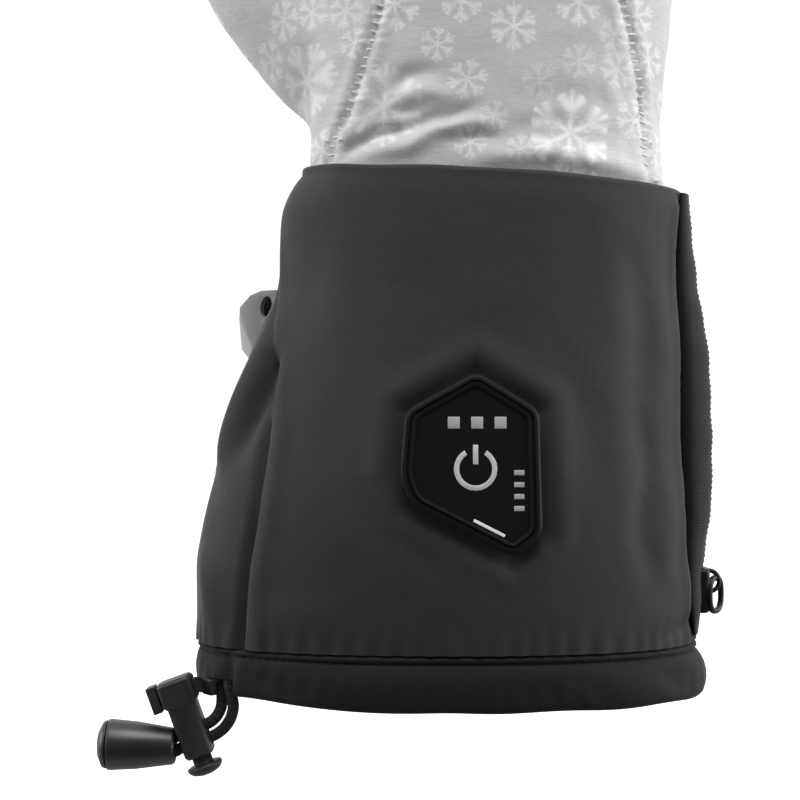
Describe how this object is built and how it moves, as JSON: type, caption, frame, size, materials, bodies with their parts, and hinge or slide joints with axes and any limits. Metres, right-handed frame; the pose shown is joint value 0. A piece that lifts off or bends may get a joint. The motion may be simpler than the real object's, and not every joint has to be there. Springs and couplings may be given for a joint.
{
  "type": "heated glove",
  "caption": "Right-hand heated winter glove worn upright: printed hand shell, long softshell cuff with a push-button control unit, side zip, drawcord hem with cord lock, and a wrist buckle.",
  "frame": {"origin": "centre of the hem's opening, where the hand goes in", "axes": "+Z from the hem to the fingertips, +X towards the little finger, +Y towards the palm side"},
  "size_m": [0.1636, 0.0854, 0.3549],
  "materials": {
    "print_cloth": "heather-grey padded knit with paler snowflakes",
    "softshell": "matte charcoal softshell",
    "hem_cloth": "matte black woven tape",
    "zip_cloth": "woven zip tape and nylon coil",
    "webbing": "ribbed webbing",
    "cord": "braided elastic cord",
    "control_rubber": "matte moulded rubber",
    "window": "translucent grey",
    "black_plastic": "satin moulded",
    "grey_plastic": "satin moulded",
    "dark_metal": "dark enamel"
  },
  "bodies": {
    "glove": {"hand_palm": "print_cloth", "finger_index": "print_cloth", "finger_middle": "print_cloth", "finger_ring": "print_cloth", "finger_little": "print_cloth", "thumb": "print_cloth", "cuff_shell": "softshell", "hem_band": "hem_cloth", "control_frame": "control_rubber", "control_face": "control_rubber", "led_window_1": "window", "led_window_2": "window", "led_window_3": "window", "charge_dash_1": "window", "charge_dash_2": "window", "charge_dash_3": "window", "charge_dash_4": "window", "power_ring": "window", "power_bar": "window", "light_bar": "window", "zip_tape": "zip_cloth", "zip_coil": "zip_cloth", "zip_slider": "dark_metal", "buckle": "grey_plastic", "buckle_webbing": "webbing", "cord_lock_body": "black_plastic", "cord_lock_tether": "black_plastic", "cord_end_bell": "black_plastic", "cord_end_plug": "black_plastic", "draw_cord_front": "cord", "draw_cord_rear": "cord"},
    "puller": {"zip_puller": "dark_metal"},
    "plunger": {"cord_lock_plunger": "black_plastic"}
  },
  "joints": [
    {"name": "puller_swing", "type": "hinge", "parent": "glove", "child": "puller", "pos_m": [0.0704, -0.00733, 0.03037], "axis": [-0.1339, -0.991, 0], "range_deg": [0, 120]},
    {"name": "plunger_press", "type": "slide", "parent": "glove", "child": "plunger", "axis": [-0.342, 0, 0.9397], "range_m": [0, 0.002], "stiffness_N_per_m": 1200, "springref_m": -0.002}
  ]
}
